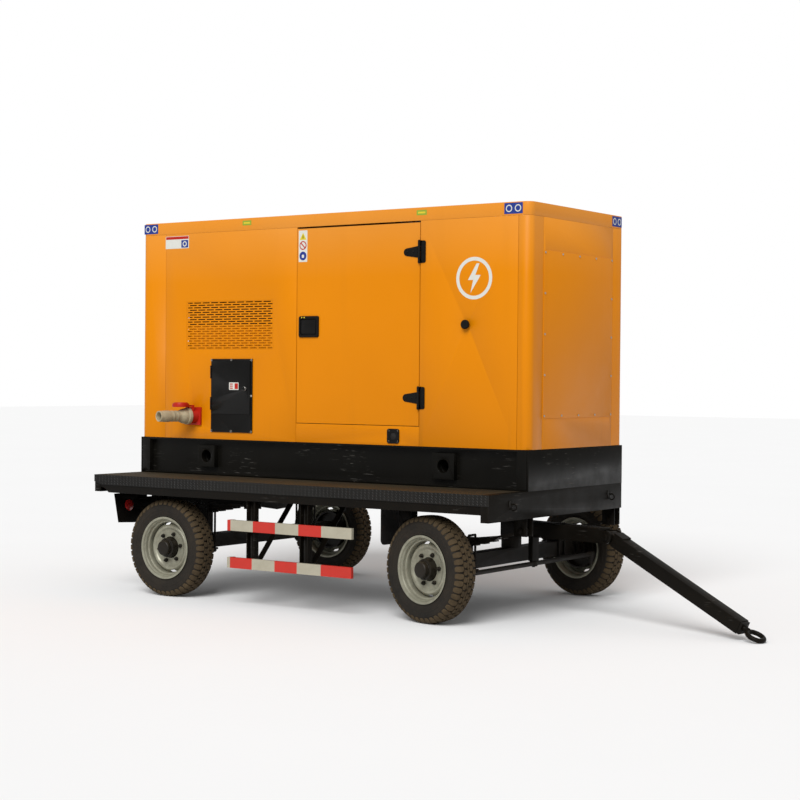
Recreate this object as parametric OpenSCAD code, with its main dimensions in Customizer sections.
// Towable diesel generator: a sound-proof canopy on a four-wheel, drawbar-steered trailer.
// X runs forward along the trailer, Y to its left, Z up. The ground is at Z = 0.

/* [Canopy] */
// Length of the canopy and of the skid base under it
canopy_l = 3410; // [3390:5:3415]
// Width of the canopy
canopy_w = 1290; // [1270:5:1310]
// Height of the canopy's lower edge above the ground
canopy_z = 1127; // [1120:1:1135]
// Height of the roof above the ground
roof_top = 2735; // [2720:5:2760]
// Depth of the roof's folded edge
roof_h = 88; // [70:2:95]
// Thickness of the canopy sheet
sheet = 4; // [3:1:5]
// Width of the front corner posts along the side
post_side = 90; // [80:5:110]
// Width of the corner posts along the front face
post_front = 165; // [150:5:175]
// Length of the closed rear section along the side
post_rear = 243; // [230:1:260]
// Radius of the canopy's upright corners
corner_r = 55; // [40:5:65]

/* [Doors] */
// Distance of the door hinge line behind the canopy's front
door_back = 860; // [855:5:870]
// Width of a door
door_w = 1052; // [1040:1:1060]
// Height of a door's lower edge
door_z = 1264; // [1260:1:1270]
// Depth of a door pan
door_t = 38; // [30:2:45]
// How far a door opens
door_open = 115; // [90:5:120]

/* [Deck] */
// Length of the deck
deck_l = 3420; // [3418:1:3430]
// Overall width of the deck
deck_w = 2258; // [2250:2:2270]
// Height of the deck's top
deck_z = 860; // [855:1:862]
// Height of the chequered edge plate
trim_h = 72; // [60:2:76]
// Depth of the front cross beam
beam_h = 175; // [165:5:180]

/* [Running gear] */
// Outer radius of a tyre
tyre_r = 350; // [348:1:352]
// Width of a tyre
tyre_w = 175; // [165:5:180]
// Distance from the centre line to a wheel's centre plane
track_y = 960; // [955:1:965]
// Distance of the front axle behind the canopy's front
axle_front = 515; // [510:1:520]
// Distance of the rear axle behind the canopy's front
axle_rear = 2800; // [2780:5:2820]
// Distance from the centre line to a steering king pin
king_y = 815; // [812:1:816]
// Wheel bolt circle diameter
stud_pcd = 204; // [200:1:208]

/* [Steering and drawbar] */
// Angle to the right at which the trailer stands steered
steer = 12; // [0:1:14]
// Length of the steering arms
arm_l = 210; // [200:5:220]
// Distance from the yoke's pivot to the drawbar's hinge
yoke_l = 900; // [880:5:920]
// Height of the drawbar's hinge
hinge_z = 560; // [556:1:562]
// Distance from the drawbar's hinge to the centre of its eye
bar_l = 1250; // [1200:10:1300]
// Width of the square drawbar tube
bar_w = 84; // [80:2:86]
// Radius of the hole in the tow eye
eye_r = 38; // [36:1:42]

/* [Hidden] */
$fn = 48;

// Clearances: between plain neighbours, and round a shaft in its bore
gap = 1;
run = 0.05;

// Tow eye: section radius of the ring, and the drawbar angle at which it lies on the ground
eye_t = 15;
eye_c = eye_r + eye_t;
bar_drop = asin((hinge_z - eye_t) / (bar_l + eye_c));

// The origin is under the middle of the standing trailer, between the deck's rear edge and
// the drawbar's tip, so the canopy's front lies at xf
tip_r = eye_c * sqrt(pow(cos(steer) * cos(bar_drop), 2) + pow(sin(steer), 2)) + eye_t;
tip_x = -axle_front + (yoke_l + bar_l * cos(bar_drop)) * cos(steer) + tip_r;
xf = (deck_l - tip_x) / 2;
xr = xf - deck_l;
axle_fx = xf - axle_front;
axle_rx = xf - axle_rear;

half_w = canopy_w / 2;
half_d = deck_w / 2;
deck_left = half_w - 4;

// The deck reaches out on the right and the steered wheel on the left; half of the
// difference puts the origin under the middle
left_y = king_y + (track_y - king_y + 83.5) * cos(steer) + 316 * sin(steer);
side_shift = (half_d - left_y) / 2;
roof_z = roof_top - roof_h;
door_x = xf - door_back;
door_top = roof_z - 12;
rear_x = xf - canopy_l;

// Trailer frame levels
deck_t = 6;
rail_top = deck_z - deck_t;
rail_z = 690;
rail_y = 600;
rail_w = 70;
side_z = 732;
axle_z = 372;
axle_h = 100;
spring_w = 60;
spring_h = 455;
leaf_t = 9;
leaf_n = 6;
front_seat = 480;
front_eye = 600;
rear_seat = 585;
rear_eye = 662;

// Wheel bearings and king pins
spindle_r = 28;
pin_r = 18;

// Colours
orange = [0.95, 0.60, 0.02];
black = [0.06, 0.06, 0.06];
steel = [0.35, 0.35, 0.36];

// ---------------------------------------------------------------- helpers

module right_side() {
    mirror([0, 1, 0]) children();
}

module both_sides() {
    children();
    mirror([0, 1, 0]) children();
}

// A box given by its lowest and highest corners
module block(a, b) {
    translate(a) cube(b - a);
}

// A cylinder along Y between two values of y
module bar_y(x, z, y0, y1, r) {
    translate([x, y0, z]) rotate([-90, 0, 0]) cylinder(h = y1 - y0, r = r);
}

// A cylinder along X between two values of x
module bar_x(y, z, x0, x1, r) {
    translate([x0, y, z]) rotate([0, 90, 0]) cylinder(h = x1 - x0, r = r);
}

// A plate in the XZ plane, t thick, its outer face at y and its back towards the middle
module side_plate(y, t) {
    translate([0, y + t, 0]) rotate([90, 0, 0]) linear_extrude(t) children();
}

// A rounded rectangle with its lower left corner at the origin
module rounded(w, h, r) {
    translate([r, 0]) square([w - 2 * r, h]);
    translate([0, r]) square([w, h - 2 * r]);
    for (x = [r, w - r], y = [r, h - r]) translate([x, y]) circle(r);
}

// Turns what belongs to a king pin at the standing steering angle
module steered(y) {
    translate([axle_fx, y, 0]) rotate([0, 0, -steer]) children();
}

// Puts a wheel part at a wheel station: its own Z points outwards
module at_wheel(place) {
    right = place[1] == "right";
    turn = right ? 90 : -90;
    side = right ? -1 : 1;
    if (place[0] == "rear") {
        translate([axle_rx, side * track_y, tyre_r]) rotate([turn, 0, 0]) children();
    } else {
        steered(side * king_y) translate([0, side * (track_y - king_y), tyre_r])
            rotate([turn, 0, 0]) children();
    }
}

// ---------------------------------------------------------------- trailer frame

// Channel section lying along X from x0 to x1, web on the outer side
module channel_x(x0, x1, y0, y1, z0, z1, t) {
    difference() {
        block([x0, y0, z0], [x1, y1, z1]);
        block([x0 - gap, y0 - gap, z0 + t], [x1 + gap, y1 - t, z1 - t]);
    }
}

module main_rails() {
    color(black) both_sides()
        channel_x(xr + 60, xf - 62, rail_y - rail_w / 2, rail_y + rail_w / 2, rail_z, rail_top, 8);
}

// Cross members between the rails and outriggers that carry the walkway on the right
member_x = [for (i = [0:5]) xr + 180 + i * (deck_l - 440) / 5];
module cross_members() {
    y_in = rail_y - rail_w / 2;
    y_out = rail_y + rail_w / 2;
    color(black) for (x = member_x) {
        difference() {
            block([x, -y_in + 8, rail_top - 100], [x + 50, y_in - 8, rail_top]);
            block([x + 7, -y_in, rail_top - 93], [x + 51, y_in, rail_top - 7]);
        }
        right_side() difference() {
            block([x, y_out, rail_top - 100], [x + 50, half_d - 54, rail_top]);
            block([x + 7, y_out - 1, rail_top - 93], [x + 51, half_d, rail_top - 7]);
        }
    }
}

module side_rail() {
    y1 = half_d - 9;
    color(black) right_side() difference() {
        block([xr + 60, y1 - 45, side_z], [xf - 62, y1, rail_top]);
        block([xr, y1 - 46, side_z + 7], [xf, y1 - 7, rail_top - 7]);
        // the rear end is cut away on a slope
        side_plate(y1 - 60, 100) polygon([[xr, side_z - 1], [xr + 140, side_z - 1],
            [xr + 100, side_z + 30], [xr, side_z + 60]]);
    }
}

// A ring lug for a lashing strap on the front beam
module lashing_ring(y) {
    block([xf, y - 20, deck_z - 95], [xf + 8, y + 20, deck_z - 45]);
    translate([xf + 22, y, deck_z - 88]) rotate([90, 0, 0])
        rotate_extrude() translate([20, 0]) circle(5);
}

module end_beams() {
    color(black) {
        difference() {
            block([xf - 60, -half_d + 5, deck_z - beam_h], [xf, deck_left, deck_z]);
            block([xf - 61, -half_d + 20, deck_z - beam_h + 10], [xf - 10, deck_left - 15, deck_z - 10]);
        }
        difference() {
            block([xr, -half_d + 9, side_z + 4], [xr + 58, deck_left, rail_top]);
            block([xr + 8, -half_d + 20, side_z + 11], [xr + 60, deck_left - 15, rail_top - 7]);
        }
        for (y = [-858, 456]) lashing_ring(y);
    }
}

module deck_plate() {
    color([0.33, 0.24, 0.16]) block([xr, -half_d + 5, rail_top], [xf - 61, deck_left, deck_z]);
}

module deck_trim() {
    z0 = deck_z - trim_h;
    color([0.2, 0.2, 0.2]) right_side() side_plate(half_d - 4, 4)
        polygon([[xr, deck_z], [xr, z0 + 22], [xr + 60, z0], [xf, z0], [xf, deck_z]]);
}

// Rear lamp board: a leaning plate, deeper at its ends, with four pressed ribs
board_x = xr + 95;
board_lean = 12;
module lamp_board() {
    color(black) translate([board_x, 0, rail_z - 4]) rotate([0, -board_lean, 0]) {
        difference() {
            rotate([90, 0, -90]) linear_extrude(6, center = true) polygon([[-1010, 30],
                [-1010, -185], [-840, -195], [-420, -130], [420, -130], [840, -195],
                [1010, -185], [1010, 30], [670, 30], [670, -8], [-670, -8], [-670, 30]]);
            for (y = [-880, 880]) bar_x(y, -62, -10, 10, 41);
        }
        for (z = [-20, -55, -90, -125], s = [-1, 1])
            bar_y(0, z, s * 640 - 120, s * 640 + 120, 6);
    }
}

module tail_lamps() {
    color([0.75, 0.05, 0.04]) translate([board_x, 0, rail_z - 4]) rotate([0, -board_lean, 0])
        for (y = [-880, 880]) {
            bar_x(y, -62, -40, 12, 40.8);
            bar_x(y, -62, -46, -40, 46);
        }
}

// ---------------------------------------------------------------- side guards

guard_y = half_d - 32;
guard_x0 = xf - 2110;
guard_x1 = xf - 1063;
guard_z = [262, 520];
guard_h = 74;
post_x = [xf - 1948, xf - 1481];

// One guard rail: a straight rail with its rear end turned inwards
module guard_rail(z) {
    block([guard_x0, guard_y, z], [guard_x1, guard_y + 24, z + guard_h]);
    translate([guard_x0, guard_y, z]) rotate([0, 0, 138]) translate([0, -24, 0])
        cube([105, 24, guard_h]);
    translate([guard_x0, guard_y, z]) cylinder(h = guard_h, r = 24);
}

module guard_rails() {
    color([0.85, 0.82, 0.78]) right_side() for (z = guard_z) difference() {
        guard_rail(z);
        block([guard_x0 - 200, guard_y + 24, 0], [guard_x1, guard_y + 100, 900]);
    }
}

module guard_posts() {
    y1 = guard_y;
    low = guard_z[0] + 6;
    color(black) right_side() for (x = post_x) {
        // upright, bolted to the side rail's underside
        block([x - 36, y1 - 46, low], [x + 36, y1 - 38, side_z]);
        block([x - 36, y1 - 38, low], [x - 28, y1, side_z]);
        block([x + 28, y1 - 38, low], [x + 36, y1, side_z]);
        // diagonal brace to the outrigger
        difference() {
            translate([x - 22, y1 - 46, low]) rotate([atan((y1 - 46 - 660) / (rail_z - low)), 0, 0])
                translate([0, -8, -40]) cube([44, 8, 700]);
            block([x - 60, -10, 0], [x + 60, rail_y + rail_w / 2, 1200]);
            block([x - 60, -10, 0], [x + 60, half_d, low]);
            block([x - 60, y1 - 47, 0], [x + 60, half_d, 1200]);
        }
    }
}

module mud_flap() {
    color(black) right_side() translate([xf - 955, 0, 0]) rotate([90, 0, -90])
        linear_extrude(6) difference() {
            translate([-935, 476]) rounded(205, side_z + 40 - 476, 40);
            translate([-940, side_z]) square([220, 60]);
        }
}

// ---------------------------------------------------------------- axles and springs

function arc_r(sag) = (spring_h * spring_h + sag * sag) / (2 * sag);

// A curved leaf pack on one side: its lowest face at z = seat, eyes at z = eye
module leaf_pack(x, seat, eye) {
    top = seat + leaf_n * leaf_t;
    sag = eye - top + 4;
    r = arc_r(sag);
    a = asin(spring_h / r);
    for (i = [0:leaf_n - 1]) {
        half = a * (i == 0 ? 0.965 : 1 - i * 0.155);
        translate([x, rail_y - spring_w / 2, top + r]) rotate([90, 0, 0]) mirror([0, 0, 1])
            rotate([0, 0, -90 - half]) rotate_extrude(angle = 2 * half)
            translate([r + i * leaf_t + 0.1, 0]) square([leaf_t - 0.2, spring_w]);
    }
    for (s = [-1, 1]) difference() {
        bar_y(x + s * spring_h, eye, rail_y - spring_w / 2, rail_y + spring_w / 2, 21);
        bar_y(x + s * spring_h, eye, rail_y - spring_w / 2 - 1, rail_y + spring_w / 2 + 1, 12 + run);
    }
}

module leaf_springs() {
    color(black) both_sides() {
        leaf_pack(axle_fx, front_seat, front_eye);
        leaf_pack(axle_rx, rear_seat, rear_eye);
    }
}

// A hanger bracket under the rail with the spring's bolt
module hanger(x, eye) {
    difference() {
        union() {
            for (y = [rail_y - 41, rail_y + 33]) block([x - 48, y, eye - 34], [x + 48, y + 8, rail_z]);
            block([x - 48, rail_y - 33, rail_z - 6], [x + 48, rail_y + 33, rail_z]);
        }
        bar_y(x, eye, rail_y - 50, rail_y + 50, 12 + run);
        // the front beam reaches lower than the rail
        block([xf - 60, rail_y - 60, deck_z - beam_h], [xf + 1, rail_y + 60, rail_z + 1]);
    }
    bar_y(x, eye, rail_y - 52, rail_y + 52, 12);
    for (y = [rail_y - 54, rail_y + 41 + run]) bar_y(x, eye, y, y + 13, 18);
}

module spring_hangers() {
    color(black) both_sides() for (s = [-1, 1]) {
        hanger(axle_fx + s * spring_h, front_eye);
        hanger(axle_rx + s * spring_h, rear_eye);
    }
}

// Two U-bolts round a spring and its axle, with the spring seat and the lower plate
module clamp_set(x, seat) {
    top = seat + leaf_n * leaf_t + 10;
    low = axle_z - axle_h / 2;
    for (s = [-1, 1]) {
        for (y = [rail_y - 40, rail_y + 40])
            translate([x + s * 60, y, low - 34]) cylinder(h = top - low + 40, r = 8);
        bar_y(x + s * 60, top + 6, rail_y - 40, rail_y + 40, 8);
        for (y = [rail_y - 40, rail_y + 40])
            translate([x + s * 60, y, low - 28]) cylinder(h = 14, r = 14, $fn = 6);
    }
    block([x - 80, rail_y - 56, low - 14], [x + 80, rail_y + 56, low]);
}

module u_bolts() {
    color(steel) both_sides() {
        clamp_set(axle_fx, front_seat);
        clamp_set(axle_rx, rear_seat);
    }
}

module axle_beam(x, end_y, seat) {
    block([x - 50, -end_y, axle_z - axle_h / 2], [x + 50, end_y, axle_z + axle_h / 2]);
    both_sides() block([x - 50, rail_y - 30, axle_z + axle_h / 2], [x + 50, rail_y + 30, seat]);
}

module front_axle() {
    color([0.16, 0.13, 0.1]) {
        difference() {
            union() {
                axle_beam(axle_fx, king_y - 45, front_seat);
                both_sides() {
                    translate([axle_fx, king_y, tyre_r - 32]) cylinder(h = 64, r = 38);
                    block([axle_fx - 30, king_y - 46, tyre_r - 28], [axle_fx + 30, king_y - 20, tyre_r + 28]);
                }
            }
            both_sides() translate([axle_fx, king_y, tyre_r - 60]) cylinder(h = 130, r = pin_r + run);
        }
        // the yoke's pivot stands on the middle of the beam
        translate([axle_fx, 0, axle_z + axle_h / 2]) cylinder(h = hinge_z - 66 - axle_z - axle_h / 2, r = 70);
        translate([axle_fx, 0, hinge_z - 70]) cylinder(h = 150, r = 30);
        translate([axle_fx, 0, hinge_z + 62]) cylinder(h = 16, r = 46);
    }
}

module rear_axle() {
    color([0.12, 0.11, 0.1]) {
        axle_beam(axle_rx, track_y - 70, rear_seat);
        both_sides() {
            bar_y(axle_rx, tyre_r, track_y - 75, track_y - 62, 46);
            bar_y(axle_rx, tyre_r, track_y - 75, track_y + 46, spindle_r);
        }
    }
}

// Steering knuckle: a fork round the axle's eye, a spindle outwards and an arm forwards
module knuckle(side) {
    off = track_y - king_y;
    steered(side * king_y) {
        difference() {
            union() {
                for (z = [tyre_r - 62, tyre_r + 34]) {
                    translate([0, 0, z]) cylinder(h = 28, r = 36);
                    block([-30, side < 0 ? -70 : 0, z], [30, side < 0 ? 0 : 70, z + 28]);
                }
                block([-40, side < 0 ? -70 : 46, tyre_r - 62], [40, side < 0 ? -46 : 70, tyre_r + 62]);
                bar_y(0, tyre_r, side < 0 ? -off - 46 : 60, side < 0 ? -60 : off + 46, spindle_r);
                // steering arm
                block([0, -20, tyre_r - 62], [arm_l, 20, tyre_r - 44]);
                translate([arm_l, 0, tyre_r - 62]) cylinder(h = 18, r = 26);
            }
            translate([0, 0, tyre_r - 80]) cylinder(h = 160, r = pin_r + run);
            translate([arm_l, 0, tyre_r - 80]) cylinder(h = 60, r = 11);
        }
        // king pin with its cap, and the ball joint's stud with its nut
        translate([0, 0, tyre_r - 66]) cylinder(h = 132, r = pin_r);
        translate([0, 0, tyre_r + 62]) cylinder(h = 8, r = 28);
        translate([arm_l, 0, tyre_r - 100]) cylinder(h = 95, r = 11);
        translate([arm_l, 0, tyre_r - 84]) cylinder(h = 20, r = 17, $fn = 6);
    }
}

module knuckle_right() {
    color(black) knuckle(-1);
}

module knuckle_left() {
    color(black) knuckle(1);
}

// The tie rod stays square to the trailer: its three eyes follow the arms' ends
rod_x = axle_fx + arm_l * cos(steer);
rod_dy = -arm_l * sin(steer);
rod_z = tyre_r - 25;
module tie_rod() {
    color(black) difference() {
        union() {
            bar_y(rod_x, rod_z, -king_y + rod_dy, king_y + rod_dy, 16);
            for (y = [-king_y, 0, king_y]) translate([rod_x, y + rod_dy, rod_z - 17])
                cylinder(h = 34, r = 27);
        }
        for (y = [-king_y, 0, king_y]) translate([rod_x, y + rod_dy, rod_z - 40])
            cylinder(h = 80, r = 11 + run);
    }
}

// Yoke: a boss on the pivot, two side plates under a top plate, and the drawbar's lugs.
// It is drawn straight ahead and turned to the standing angle.
module yoke() {
    top = hinge_z + 40;
    lug = bar_w / 2 + 4;
    color(black) translate([axle_fx, 0, 0]) rotate([0, 0, -steer]) {
        difference() {
            union() {
                translate([0, 0, hinge_z - 64]) cylinder(h = 125, r = 75);
                difference() {
                    translate([0, 0, top]) linear_extrude(12) union() {
                        circle(110);
                        polygon([[0, -110], [yoke_l - 62, -lug - 16], [yoke_l - 62, lug + 16], [0, 110]]);
                    }
                    translate([0, 0, top - 1]) cylinder(h = 20, r = 60);
                }
                for (s = [-1, 1]) {
                    translate([0, 0, top - 84]) linear_extrude(84) polygon([[0, s * 110],
                        [yoke_l - 62, s * (lug + 16)], [yoke_l - 62, s * lug], [0, s * 94]]);
                    translate([yoke_l - 62, s > 0 ? lug : -lug - 16, top - 84]) cube([62, 16, 84]);
                    bar_y(yoke_l, hinge_z, s > 0 ? lug : -lug - 16, s > 0 ? lug + 16 : -lug, 42);
                }
                block([yoke_l - 90, -lug, top - 84], [yoke_l - 78, lug, top]);
                block([60, -100, top - 84], [72, 100, top]);
                // arm down to the tie rod
                block([arm_l - 20, -32, rod_z + 19], [arm_l + 20, 32, top]);
                block([arm_l - 20, -100, top - 20], [arm_l + 20, 100, top]);
            }
            translate([0, 0, hinge_z - 80]) cylinder(h = 200, r = 30 + run);
            bar_y(yoke_l, hinge_z, -80, 80, 14 + run);
        }
        // pin into the tie rod's middle eye
        translate([arm_l, 0, rod_z - 24]) cylinder(h = 45, r = 11);
        // hinge pin of the drawbar, with its heads
        bar_y(yoke_l, hinge_z, -lug - 26, lug + 26, 14);
        for (y = [-lug - 28, lug + 16]) bar_y(yoke_l, hinge_z, y, y + 12, 21);
    }
}

module drawbar() {
    w = bar_w;
    color(black) translate([axle_fx, 0, 0]) rotate([0, 0, -steer])
        translate([yoke_l, 0, hinge_z]) rotate([0, bar_drop, 0]) {
            difference() {
                union() {
                    block([44, -w / 2, -w / 2], [bar_l - 110, w / 2, w / 2]);
                    bar_y(0, 0, -w / 2, w / 2, 36);
                    block([0, -w / 2, -34], [46, w / 2, 34]);
                    block([40, -w / 2, w / 2], [118, w / 2, w / 2 + 9]);
                    block([bar_l - 110, -w / 2 + 4, -w / 2 + 4], [bar_l - 92, w / 2 - 4, w / 2 - 4]);
                }
                bar_y(0, 0, -60, 60, 14 + run);
            }
            bar_x(0, 0, bar_l - 92, bar_l - eye_c - 6, 20);
            difference() {
                translate([bar_l, 0, 0]) rotate_extrude() difference() {
                    translate([eye_c, 0]) circle(eye_t);
                    translate([0, -30]) square([eye_r + 1.2, 60]);
                }
                translate([bar_l, 0, -30]) cylinder(h = 60, r = eye_r + 1.2);
            }
        }
}

// ---------------------------------------------------------------- wheels

// Tyre section: outer outline and the hollow inside
module tyre() {
    w = tyre_w / 2;
    color([0.1, 0.09, 0.08]) rotate_extrude($fn = 96) difference() {
        polygon([[204, -60], [216, -70], [236, -74], [262, -w + 3], [290, -w], [316, -w + 4],
            [334, -w + 13], [345, -w + 28], [tyre_r, -w + 48], [tyre_r, w - 48], [345, w - 28],
            [334, w - 13], [316, w - 4], [290, w], [262, w - 3], [236, 74], [216, 70], [204, 60]]);
        polygon([[200, -48], [240, -60], [290, -74], [325, -58], [330, 0], [325, 58],
            [290, 74], [240, 60], [200, 48]]);
    }
}

module rim() {
    color([0.72, 0.72, 0.68]) difference() {
        union() {
            rotate_extrude($fn = 96) polygon([[203.5, -58], [203.5, -60], [214, -76], [224, -78], [224, -83],
                [211, -83], [198, -62], [197, -40], [182, -28], [182, 30], [197, 42], [198, 62],
                [211, 83], [224, 83], [224, 78], [214, 76], [203.5, 60], [203.5, 46], [188, 34],
                [188, -32], [203.5, -44]]);
            rotate_extrude($fn = 96) polygon([[78, 8], [140, 8], [150, 18], [166, 22], [176, 2], [182.5, -6],
                [182.5, 2], [180, 12], [170, 31], [146, 27], [136, 15], [78, 15]]);
        }
        for (i = [0:5]) rotate([0, 0, i * 60]) {
            translate([stud_pcd / 2, 0, 0]) cylinder(h = 30, r = 10);
            rotate([0, 0, 30]) translate([160, 0, -10]) cylinder(h = 60, r = 9);
        }
    }
}

// Hub with its brake drum, bearing barrel, cap, studs and nuts; inboard is negative Z
module hub() {
    color(black) {
        difference() {
            union() {
                rotate_extrude() polygon([[0, -52], [150, -52], [150, -6], [130, 0], [130, 8],
                    [76, 8], [68, 40], [66, 62], [54, 66], [54, 92], [44, 100], [0, 100]]);
            }
            translate([0, 0, -60]) cylinder(h = 48, r = 138);
            translate([0, 0, -30]) cylinder(h = 76 + 3, r = spindle_r + run);
        }
        difference() {
            translate([0, 0, -46]) cylinder(h = 36, r = 60);
            translate([0, 0, -60]) cylinder(h = 60, r = spindle_r + run);
        }
        for (i = [0:5]) rotate([0, 0, i * 60]) translate([stud_pcd / 2, 0, 8]) {
            cylinder(h = 34, r = 8);
            translate([0, 0, 7]) cylinder(h = 16, r = 15.5, $fn = 6);
        }
    }
}

module tyre_front_right() {
    at_wheel(["front", "right"]) tyre();
}

module tyre_front_left() {
    at_wheel(["front", "left"]) tyre();
}

module tyre_rear_right() {
    at_wheel(["rear", "right"]) tyre();
}

module tyre_rear_left() {
    at_wheel(["rear", "left"]) tyre();
}

module rim_front_right() {
    at_wheel(["front", "right"]) rim();
}

module rim_front_left() {
    at_wheel(["front", "left"]) rim();
}

module rim_rear_right() {
    at_wheel(["rear", "right"]) rim();
}

module rim_rear_left() {
    at_wheel(["rear", "left"]) rim();
}

module hub_front_right() {
    at_wheel(["front", "right"]) hub();
}

module hub_front_left() {
    at_wheel(["front", "left"]) hub();
}

module hub_rear_right() {
    at_wheel(["rear", "right"]) hub();
}

module hub_rear_left() {
    at_wheel(["rear", "left"]) hub();
}

// ---------------------------------------------------------------- skid base

lift_x = [xf - 2758, xf - 664];
lift_z = 1000;
lift_r = 45;
base_t = 14;

module skid_base() {
    web = half_w - 45;
    web_in = web - 60;
    z1 = canopy_z;
    x0 = rear_x + base_t + 1;
    x1 = xf - base_t - 1;
    color(black) difference() {
        union() {
            // side rails: webs with flanges, end posts and the plates round the lifting holes
            both_sides() {
                block([x0, web - 10, deck_z], [x1, web, z1]);
                for (z = [deck_z, z1 - base_t]) block([x0, web_in, z], [x1, half_w, z + base_t]);
                for (x = [x0, x1 - post_side + base_t + 1])
                    block([x, web - 1, deck_z], [x + post_side - base_t - 1, half_w, z1]);
                for (i = [0, 1]) {
                    s = [80, 88][i];
                    block([lift_x[i] - s, web - 1, lift_z - s], [lift_x[i] + s, half_w - 2, lift_z + s]);
                }
            }
            // end plates, fork tubes and floor members between the side rails
            for (x = [rear_x, xf - base_t]) block([x, -half_w, deck_z], [x + base_t, half_w, z1]);
            for (x = lift_x) bar_y(x, lift_z, -web + 11, web - 11, lift_r + 10);
            for (x = [rear_x + 500, xf - 500, xf - 1500, xf - 2100])
                block([x - 6, -web_in + 1, z1 - 50], [x + 6, web_in - 1, z1]);
        }
        for (x = lift_x) bar_y(x, lift_z, -half_w - 10, half_w + 10, lift_r);
    }
}

module fuel_tank() {
    color([0.12, 0.12, 0.12]) difference() {
        union() {
            block([xf - 2600, -520, deck_z + 16], [xf - 820, 520, canopy_z - 56]);
            translate([xf - 900, -380, canopy_z - 57]) cylinder(h = 50, r = 45);
        }
        block([xf - 2597, -517, deck_z + 19], [xf - 823, 517, canopy_z - 59]);
    }
}

// ---------------------------------------------------------------- canopy

// Louvre field and box cut-outs in the rear side panels
grille_x = xf - 2956;
grille_w = 830;
grille_z = 1787;
grille_h = 352;
box_x = xf - 2706;
box_w = 391;
box_z = 1181;
box_h = 535;
socket_x = xf - 2868;
socket_z = 1294;
socket_turn = 12;
button_x = xf - 481;
button_z = 1943;
port_x = xf - 1068;
port_z = 1191;
panel_x0 = rear_x + post_rear + 2;
door_x0 = door_x - door_w;

// A vertical side panel between two values of x, with its edges folded inwards
module side_panel(x0, x1, z0, z1) {
    fold = 25;
    difference() {
        block([x0, half_w - fold, z0], [x1, half_w, z1]);
        block([x0 + sheet, half_w - fold - 1, z0 + sheet], [x1 - sheet, half_w - sheet, z1 - sheet]);
    }
}

module rear_side(right) {
    difference() {
        side_panel(panel_x0, door_x0 - 4, canopy_z + 1, roof_z - 1);
        block([grille_x, half_w - 60, grille_z], [grille_x + grille_w, half_w + 10, grille_z + grille_h]);
        if (right) {
            block([box_x + 12, half_w - 60, box_z + 12],
                [box_x + box_w - 12, half_w + 10, box_z + box_h - 12]);
            bar_y(socket_x, socket_z, half_w - 60, half_w + 10, 58);
        }
    }
    // sound baffle behind the grille, held off the panel
    block([grille_x - 30, half_w - 110, grille_z - 60],
        [grille_x + grille_w + 30, half_w - 104, grille_z + grille_h * 0.55]);
    block([grille_x - 30, half_w - 104, grille_z - 60],
        [grille_x + grille_w + 30, half_w - 25, grille_z - 54]);
}

module fixed_panels() {
    color(orange) {
        for (m = [0, 1]) mirror([0, m, 0]) {
            rear_side(m == 1);
            // front side panel, with a collar for the push button on the right
            difference() {
                side_panel(door_x + 4, xf - post_side - 2, canopy_z + 1, roof_z - 1);
                if (m == 1) bar_y(button_x, button_z, half_w - 60, half_w + 10, 12);
            }
            // sill under the door, and the strip over it
            difference() {
                side_panel(door_x0 - 2, door_x + 2, canopy_z + 1, door_z - 4);
                if (m == 1) block([port_x - 30, half_w - 60, port_z - 30],
                    [port_x + 30, half_w + 10, port_z + 30]);
            }
        }
        // front panel: the frame that the access panel closes
        end_y = half_w - post_front - 2;
        difference() {
            block([xf - 25, -end_y, canopy_z + 1], [xf, end_y, roof_z - 1]);
            block([xf - 26, -end_y + 4, canopy_z + 5], [xf - 4, end_y - 4, roof_z - 5]);
            block([xf - 50, -430, 1380], [xf + 10, 430, 2385]);
        }
        // rear panel with the cooling louvres' opening
        difference() {
            block([rear_x, -end_y, canopy_z + 1], [rear_x + 25, end_y, roof_z - 1]);
            block([rear_x + 4, -end_y + 4, canopy_z + 5], [rear_x + 26, end_y - 4, roof_z - 5]);
            for (i = [0:9]) block([rear_x - 5, -380, 1500 + i * 90], [rear_x + 5, 380, 1560 + i * 90]);
        }
        for (i = [0:9]) translate([rear_x + 2, 0, 1563 + i * 90]) rotate([0, 35, 0])
            block([0, -400, -65], [3, 400, 0]);
    }
}

// Corner post seen from above: an angle with a round outer edge
module post_outline(a, b) {
    difference() {
        union() {
            translate([-corner_r, -corner_r]) circle(corner_r);
            translate([-a, -corner_r]) square([a - corner_r, corner_r]);
            translate([-corner_r, -b]) square([corner_r, b - corner_r]);
        }
        translate([-corner_r, -corner_r]) circle(corner_r - sheet);
        translate([-a - 40, -b - 1]) square([a + 40 - sheet, b + 1 - corner_r]);
        translate([-a - 40, -b - 1]) square([a + 40 - corner_r, b + 1 - sheet]);
    }
}

module corner_posts() {
    h = roof_z - canopy_z - 2;
    color(orange) both_sides() {
        translate([xf, half_w, canopy_z + 1]) linear_extrude(h) post_outline(post_side, post_front);
        translate([rear_x, half_w, canopy_z + 1]) mirror([1, 0, 0])
            linear_extrude(h) post_outline(post_rear, post_front);
    }
}

access_y = 474;
access_z = [1330, 2432];
module access_panel() {
    color(orange) block([xf, -access_y, access_z[0]], [xf + 3, access_y, access_z[1]]);
}

// Sixteen screws round the access panel
module panel_screws() {
    y1 = access_y - 16;
    z0 = access_z[0] + 16;
    dz = (access_z[1] - access_z[0] - 32) / 4;
    color("silver") for (i = [0:4], j = [0:4])
        if (i == 0 || i == 4 || j == 0 || j == 4)
            translate([xf + 3, -y1 + i * y1 / 2, z0 + j * dz]) rotate([0, 90, 0])
                cylinder(h = 4, r = 7);
}

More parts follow.
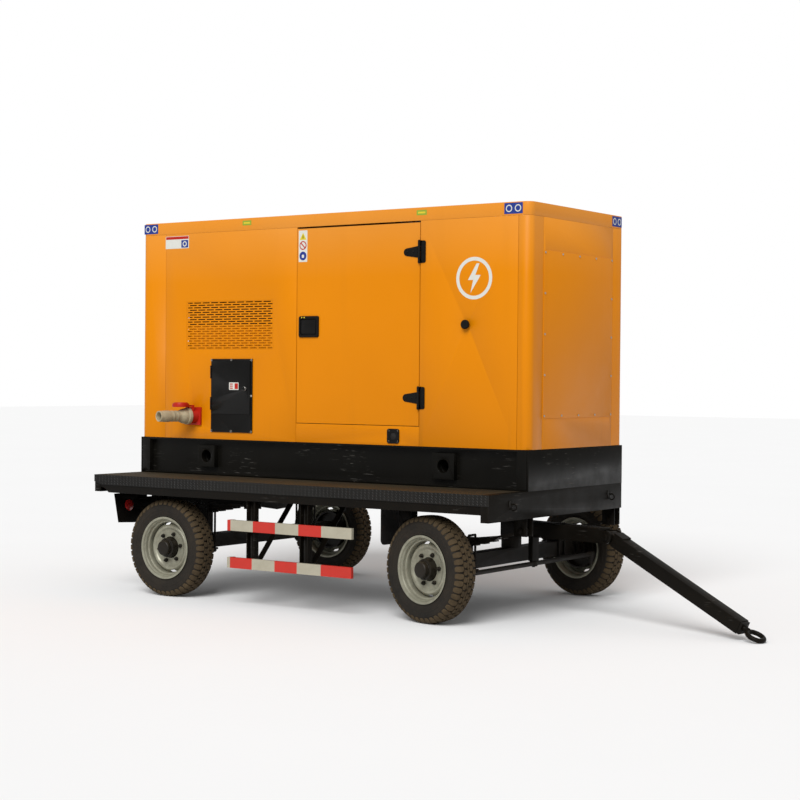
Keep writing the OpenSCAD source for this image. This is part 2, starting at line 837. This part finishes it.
module roof() {
    vent_x = xf - 760;
    color(orange) difference() {
        union() {
            translate([rear_x, -half_w, roof_z]) linear_extrude(roof_h) {
                translate([0, corner_r]) square([canopy_l, canopy_w - 2 * corner_r]);
                translate([corner_r, 0]) square([canopy_l - 2 * corner_r, canopy_w]);
                for (x = [corner_r, canopy_l - corner_r], y = [corner_r, canopy_w - corner_r])
                    translate([x, y]) circle(corner_r);
            }
        }
        block([rear_x + corner_r, -half_w + sheet, roof_z - 1],
            [xf - corner_r, half_w - sheet, roof_top - sheet]);
        block([rear_x + sheet, -half_w + corner_r, roof_z - 1],
            [xf - sheet, half_w - corner_r, roof_top - sheet]);
        // hot air leaves through slots over the radiator
        for (i = [0:13]) block([vent_x + i * 46, -420, roof_top - 20],
            [vent_x + 24 + i * 46, 420, roof_top + 1]);
    }
}

// Punched intake grilles: bars at an even pitch inside a frame
module intake_grilles() {
    rows = 20;
    pitch = grille_h / rows;
    color(orange) both_sides() difference() {
        block([grille_x + 1, half_w - 3, grille_z + 1],
            [grille_x + grille_w - 1, half_w - 1, grille_z + grille_h - 1]);
        for (i = [0:rows - 1]) block([grille_x + 12, half_w - 9, grille_z + (i + 0.28) * pitch],
            [grille_x + grille_w - 12, half_w + 9, grille_z + (i + 0.72) * pitch]);
    }
}

// ---------------------------------------------------------------- doors

hinge_y = half_w + 13;
hinge_r = 9;
hinge_pin = 4.5;
hinge_zs = [1453, 2437];

// Fixed leaf of a strap hinge, with its pin and screws
module hinge_leaf(z) {
    difference() {
        union() {
            side_plate(half_w, 4) translate([door_x + 5, z - 76]) rounded(42, 152, 12);
            for (dz = [-76, 44]) {
                block([door_x - 4, half_w, z + dz], [door_x + 20, half_w + 4, z + dz + 32]);
                translate([door_x, hinge_y, z + dz]) cylinder(h = 32, r = hinge_r);
                block([door_x - 4, half_w, z + dz], [door_x + 4, hinge_y, z + dz + 32]);
            }
        }
        translate([door_x, hinge_y, z - 90]) cylinder(h = 180, r = hinge_pin);
    }
    translate([door_x, hinge_y, z - 80]) cylinder(h = 160, r = hinge_pin);
    for (dz = [-58, 0, 58]) bar_y(door_x + 32, z + dz, half_w + 4, half_w + 8, 8);
}

module hinge_brackets() {
    color(black) both_sides() for (z = hinge_zs) hinge_leaf(z);
}

// Strap leaf of a hinge, which is screwed to the door
module hinge_strap(z) {
    difference() {
        union() {
            side_plate(half_w, 4) {
                translate([door_x - 104, z]) circle(26);
                polygon([[door_x - 104, z - 26], [door_x - 6, z - 38], [door_x - 6, z + 38],
                    [door_x - 104, z + 26]]);
            }
            translate([door_x, hinge_y, z - 43]) cylinder(h = 86, r = hinge_r);
            block([door_x - 8, half_w, z - 38], [door_x - 2, hinge_y, z + 38]);
        }
        translate([door_x, hinge_y, z - 90]) cylinder(h = 180, r = hinge_pin + run);
    }
    for (dx = [-104, -58]) bar_y(door_x + dx, z, half_w + 4, half_w + 8, 8);
}

latch_x = door_x0 + 22;
latch_w = 176;
latch_z = 1868;
latch_h = 150;
paddle_y = half_w + 2;
paddle_z = latch_z + latch_h - 30;

// Door pan with its straps and the latch housing
module door_leaf() {
    z1 = door_top;
    color(orange) difference() {
        block([door_x0, half_w - door_t, door_z], [door_x - 2, half_w, z1]);
        block([door_x0 + sheet, half_w - door_t - 1, door_z + sheet],
            [door_x - 2 - sheet, half_w - sheet, z1 - sheet]);
        block([latch_x + 14, half_w - 60, latch_z + 14],
            [latch_x + latch_w - 14, half_w + 10, latch_z + latch_h - 14]);
    }
    color(black) {
        for (z = hinge_zs) hinge_strap(z);
        difference() {
            union() {
                side_plate(half_w, 12) translate([latch_x, latch_z]) rounded(latch_w, latch_h, 14);
                block([latch_x + 14.2, half_w - 26, latch_z + 14.2],
                    [latch_x + latch_w - 14.2, half_w, latch_z + latch_h - 14.2]);
            }
            block([latch_x + 20, half_w - 22, latch_z + 20],
                [latch_x + latch_w - 20, half_w + 20, latch_z + latch_h - 20]);
            bar_x(paddle_y, paddle_z, latch_x + 14, latch_x + latch_w - 14, 3 + run);
        }
    }
}

module door_right() {
    mirror([0, 1, 0]) door_leaf();
}

module door_left() {
    door_leaf();
}

// Paddle of the latch: hinged along its upper edge, its lower edge is pulled
module latch_paddle() {
    color(black) {
        block([latch_x + 24, paddle_y, latch_z + 26], [latch_x + latch_w - 24, paddle_y + 8, paddle_z]);
        bar_x(paddle_y, paddle_z, latch_x + 24, latch_x + latch_w - 24, 7);
        bar_x(paddle_y, paddle_z, latch_x + 16, latch_x + latch_w - 16, 3);
        block([latch_x + 40, half_w - 10, latch_z + 30], [latch_x + latch_w - 40, half_w + 3, latch_z + 38]);
    }
}

module latch_right() {
    mirror([0, 1, 0]) latch_paddle();
}

module latch_left() {
    latch_paddle();
}

// ---------------------------------------------------------------- breaker box and socket

lid_z = box_z + 134;
lid_hx = box_x + 4;
lid_y = half_w + 15;
lid_hinge_z = [lid_z + 40, lid_z + 270];
lid_hinge_h = 70;

// Surface frame, the tray behind it, the fixed lower cover and the breaker's body
module breaker_box() {
    mirror([0, 1, 0]) color(black) {
        difference() {
            union() {
                block([box_x, half_w, box_z], [box_x + box_w, half_w + 8, box_z + box_h]);
                block([box_x + 14, half_w - 150, box_z + 14],
                    [box_x + box_w - 14, half_w + 1, box_z + box_h - 14]);
            }
            block([box_x + 20, half_w - 146, lid_z + 4],
                [box_x + box_w - 20, half_w + 40, box_z + box_h - 20]);
            block([box_x + 20, half_w - 151, box_z + 20], [box_x + box_w - 20, half_w + 3, lid_z - 10]);
        }
        // breaker body with its rocker's slot and bearings
        difference() {
            block([box_x + 110, half_w - 146, lid_z + 90], [box_x + 280, half_w - 50, lid_z + 300]);
            block([box_x + 165, half_w - 76, lid_z + 150], [box_x + 225, half_w - 40, lid_z + 240]);
            bar_x(half_w - 66, toggle_z, box_x + 155, box_x + 235, 4 + run);
        }
        // lid hinge: two knuckles and a pin at each barrel
        for (z = lid_hinge_z) {
            translate([lid_hx, lid_y, z - 12]) cylinder(h = lid_hinge_h + 24, r = 3);
            for (dz = [-12, lid_hinge_h + 1]) {
                translate([lid_hx, lid_y, z + dz]) cylinder(h = 11, r = 6);
                block([lid_hx - 5, half_w + 7, z + dz], [lid_hx - 1, lid_y, z + dz + 11]);
            }
        }
        // frame screws
        for (x = [box_x + 8, box_x + box_w / 2, box_x + box_w - 8], z = [box_z + 8, box_z + box_h - 8])
            bar_y(x, z, half_w + 8, half_w + 11, 6);
    }
}

module breaker_lid() {
    mirror([0, 1, 0]) color(black) {
        difference() {
            union() {
                block([lid_hx + 8, half_w + 9, lid_z], [box_x + box_w - 16, half_w + 14, box_z + box_h - 16]);
                for (z = lid_hinge_z) {
                    translate([lid_hx, lid_y, z]) cylinder(h = lid_hinge_h, r = 6);
                    block([lid_hx, half_w + 10, z], [lid_hx + 10, half_w + 14, z + lid_hinge_h]);
                }
            }
            translate([lid_hx, lid_y, lid_z]) cylinder(h = box_h, r = 3 + run);
        }
        // cam lock
        bar_y(box_x + box_w - 64, box_z + 318, half_w + 14, half_w + 28, 15);
    }
}

toggle_z = lid_z + 195;
module breaker_toggle() {
    mirror([0, 1, 0]) color([0.15, 0.15, 0.15]) translate([0, half_w - 66, toggle_z]) rotate([-20, 0, 0]) {
        block([box_x + 185, 0, -8], [box_x + 205, 46, 8]);
        bar_x(0, 0, box_x + 170, box_x + 220, 9);
        bar_x(0, 0, box_x + 160, box_x + 230, 4);
    }
}

// Socket: a square flange with a round barrel through the panel, and the lid's hinge lugs
module turned_out() {
    translate([socket_x, half_w, 0]) rotate([0, 0, socket_turn]) translate([-socket_x, -half_w, 0])
        children();
}

module power_socket() {
    right_side() color([0.75, 0.08, 0.04]) {
        difference() {
            union() {
                block([socket_x - 66, half_w, socket_z - 66], [socket_x + 66, half_w + 14, socket_z + 66]);
                turned_out() {
                    bar_y(socket_x, socket_z, half_w - 70, half_w + 56, 54);
                    for (x = [socket_x - 40, socket_x + 26])
                        block([x, half_w + 36, socket_z + 25], [x + 14, half_w + 54, socket_z + 82]);
                }
            }
            turned_out() {
                bar_y(socket_x, socket_z, half_w - 60, half_w + 70, 46);
                bar_x(half_w + 46, socket_z + 75, socket_x - 60, socket_x + 60, 3);
            }
        }
        turned_out() for (i = [0:4]) translate([socket_x, 0, socket_z]) rotate([0, i * 72, 0])
            bar_y(0, 26, half_w - 60, half_w - 20, 5);
    }
}

// Lid of the socket, swung up over the plug; its hinge pin lies in the barrel's lugs
module socket_lid() {
    right_side() color([0.8, 0.08, 0.05]) turned_out() {
        bar_x(half_w + 46, socket_z + 75, socket_x - 42, socket_x + 42, 3 - run);
        translate([0, half_w + 46, socket_z + 75]) {
            block([socket_x - 24, -5, -5], [socket_x + 24, 34, 7]);
            translate([socket_x, 84, -8]) cylinder(h = 26, r = 62);
            translate([socket_x, 84, 18]) cylinder(h = 8, r = 53);
        }
    }
}

plug_y = half_w + 58;
module power_plug() {
    right_side() color([0.85, 0.82, 0.7]) turned_out() difference() {
        translate([socket_x, plug_y, socket_z]) rotate([-90, 0, 0]) rotate_extrude()
            polygon([[0, 0], [61, 0], [62, 4], [62, 26], [56, 30], [55, 52], [41, 84], [40, 176],
                [42, 180], [42, 220], [40, 268], [0, 268]]);
        bar_y(socket_x, socket_z, plug_y + 60, plug_y + 276, 30);
    }
    // contact sleeve inside the socket's barrel
    right_side() color([0.8, 0.78, 0.68]) turned_out() difference() {
        bar_y(socket_x, socket_z, half_w - 14, plug_y + 1, 42);
        bar_y(socket_x, socket_z, half_w - 20, plug_y - 6, 36);
    }
}

module stop_button() {
    mirror([0, 1, 0]) color(black) {
        bar_y(button_x, button_z, half_w - 45, half_w + 14, 11);
        translate([button_x, half_w + 14, button_z]) rotate([-90, 0, 0]) rotate_extrude()
            polygon([[0, 0], [28, 0], [31, 4], [31, 16], [26, 22], [0, 22]]);
    }
}

// Square cover of the drain and cable port, with its four screws
module service_port() {
    mirror([0, 1, 0]) color(black) {
        difference() {
            side_plate(half_w, 7) translate([port_x - 50, port_z - 50]) rounded(100, 100, 16);
            bar_y(port_x, port_z, half_w + 3, half_w + 10, 24);
        }
        block([port_x - 29, half_w - 20, port_z - 29], [port_x + 29, half_w, port_z + 29]);
        for (x = [-36, 36], z = [-36, 36]) bar_y(port_x + x, port_z + z, half_w + 7, half_w + 9, 6);
    }
}

// ---------------------------------------------------------------- generator set

crank_z = 1560;
engine_x1 = xf - 980;
engine_x0 = xf - 1790;
mount_z = canopy_z + 1;

module engine() {
    x0 = engine_x0;
    x1 = engine_x1;
    color([0.16, 0.35, 0.22]) difference() {
        union() {
            block([x0, -170, crank_z - 120], [x1, 170, crank_z + 300]);
            block([x0 + 40, -130, crank_z - 300], [x1 - 60, 130, crank_z - 120]);
            block([x0 + 10, -120, crank_z + 300], [x1 - 10, 120, crank_z + 370]);
            for (i = [0:5]) block([x0 + 40 + i * 124, -85, crank_z + 370],
                [x0 + 140 + i * 124, 85, crank_z + 420]);
            // inlet and exhaust manifolds, filters, flywheel housing
            for (i = [0:5]) bar_y(x0 + 90 + i * 124, crank_z + 335, 100, 215, 28);
            bar_x(230, crank_z + 335, x0 + 60, x1 - 40, 38);
            block([x0 + 60, -230, crank_z + 310], [x1 - 60, -118, crank_z + 360]);
            for (i = [0, 1]) translate([x0 + 480 + i * 110, -225, crank_z - 40]) cylinder(h = 190, r = 46);
            block([x0 + 450, -200, crank_z + 150], [x0 + 640, -165, crank_z + 210]);
            bar_x(0, crank_z, x0 - 30, x0 + 20, 255);
            // water pump boss in front of the block
            bar_x(0, crank_z + 190, x1 - 10, x1 + 30, 70);
            bar_x(0, crank_z, x1 - 10, x1 + 20, 60);
            bar_x(0, crank_z, x1 + 19, x1 + 60, 95);
            // feet on the skid's rails
            for (x = [x0 + 60, x1 - 150]) {
                block([x, -330, crank_z - 130], [x + 90, 330, crank_z - 100]);
                both_sides() block([x + 10, 280, mount_z + 20], [x + 80, 320, crank_z - 130]);
            }
        }
        bar_x(0, crank_z + 190, x1 - 60, x1 + 60, 20);
    }
    color(black) both_sides() block([xf - 2680, 250, mount_z], [xf - 900, 350, mount_z + 20]);
}

module alternator() {
    x1 = engine_x0 - 31;
    color([0.5, 0.52, 0.54]) {
        bar_x(0, crank_z, x1 - 110, x1, 250);
        bar_x(0, crank_z, x1 - 700, x1 - 110, 225);
        bar_x(0, crank_z, x1 - 760, x1 - 700, 170);
        block([x1 - 640, -180, crank_z + 190], [x1 - 220, 180, crank_z + 330]);
        for (i = [0:11]) rotate([0, 0, 0]) translate([0, 0, crank_z]) rotate([15 + i * 30, 0, 0])
            block([x1 - 680, -8, 215], [x1 - 130, 8, 240]);
        both_sides() block([x1 - 600, 230, mount_z + 21], [x1 - 180, 320, crank_z - 190]);
        block([x1 - 600, -320, crank_z - 215], [x1 - 180, 320, crank_z - 190]);
    }
}

fan_x = xf - 820;
module radiator() {
    x0 = xf - 640;
    color([0.12, 0.12, 0.12]) {
        difference() {
            block([x0, -480, 1330], [x0 + 90, 480, 2380]);
            block([x0 - 1, -430, 1430], [x0 + 91, 430, 2300]);
        }
        for (i = [0:27]) block([x0 + 10, -430, 1436 + i * 31], [x0 + 80, 430, 1440 + i * 31]);
        translate([x0 + 45, 0, 2380]) cylinder(h = 22, r = 34);
        both_sides() block([x0 + 10, 400, mount_z], [x0 + 80, 460, 1330]);
        // fan shroud
        difference() {
            bar_x(0, crank_z + 190, x0 - 190, x0, 395);
            bar_x(0, crank_z + 190, x0 - 200, x0 + 1, 385);
        }
    }
}

// Fan with six set blades on its shaft in the water pump
module cooling_fan() {
    color([0.9, 0.45, 0.05]) {
        bar_x(0, crank_z + 190, engine_x1 - 40, fan_x + 55, 20 - run);
        bar_x(0, crank_z + 190, fan_x - 20, fan_x + 50, 60);
        bar_x(0, crank_z + 190, engine_x1 + 34, engine_x1 + 58, 80);
        for (i = [0:5]) translate([fan_x + 15, 0, crank_z + 190]) rotate([i * 60, 0, 0])
            translate([0, 0, 55]) rotate([0, 0, 35]) block([-3, -55, 0], [3, 55, 300]);
    }
}

module silencer() {
    z = roof_z - 210;
    color([0.4, 0.38, 0.36]) {
        bar_x(-180, z, xf - 2450, xf - 1650, 130);
        bar_x(-180, z, xf - 2520, xf - 2450, 45);
        for (x = [xf - 2300, xf - 1800]) block([x - 20, -190, z + 120], [x + 20, -170, roof_z]);
        translate([xf - 1560, -180, crank_z + 361]) cylinder(h = z - crank_z - 361, r = 42);
        bar_x(-180, z, xf - 1650, xf - 1520, 44);
    }
}

module control_panel() {
    x0 = xf - 3080;
    color([0.2, 0.21, 0.23]) {
        difference() {
            block([x0, -260, 1420], [x0 + 180, 260, 2240]);
            block([x0 + 4, -256, 1424], [x0 + 176, 256, 2236]);
        }
        for (y = [-200, 200]) block([x0 + 60, y - 20, mount_z], [x0 + 120, y + 20, 1420]);
    }
    color([0.1, 0.1, 0.12]) block([x0 + 180, -80, 1960], [x0 + 192, 80, 2080]);
}

// ---------------------------------------------------------------- nodes

module placed() {
    translate([0, side_shift, 0]) children();
}

placed() main_rails();
placed() cross_members();
placed() side_rail();
placed() end_beams();
placed() deck_plate();
placed() deck_trim();
placed() lamp_board();
placed() tail_lamps();
placed() guard_posts();
placed() guard_rails();
placed() mud_flap();
placed() spring_hangers();
placed() leaf_springs();
placed() u_bolts();
placed() front_axle();
placed() rear_axle();
placed() skid_base();
placed() fuel_tank();
placed() fixed_panels();
placed() corner_posts();
placed() access_panel();
placed() panel_screws();
placed() roof();
placed() intake_grilles();
placed() hinge_brackets();
placed() breaker_box();
placed() power_socket();
placed() service_port();
placed() engine();
placed() alternator();
placed() radiator();
placed() silencer();
placed() control_panel();
placed() knuckle_right();
placed() knuckle_left();
placed() tie_rod();
placed() yoke();
placed() drawbar();
placed() tyre_front_right();
placed() tyre_front_left();
placed() tyre_rear_right();
placed() tyre_rear_left();
placed() rim_front_right();
placed() rim_front_left();
placed() rim_rear_right();
placed() rim_rear_left();
placed() hub_front_right();
placed() hub_front_left();
placed() hub_rear_right();
placed() hub_rear_left();
placed() door_right();
placed() door_left();
placed() latch_right();
placed() latch_left();
placed() breaker_lid();
placed() breaker_toggle();
placed() socket_lid();
placed() power_plug();
placed() stop_button();
placed() cooling_fan();
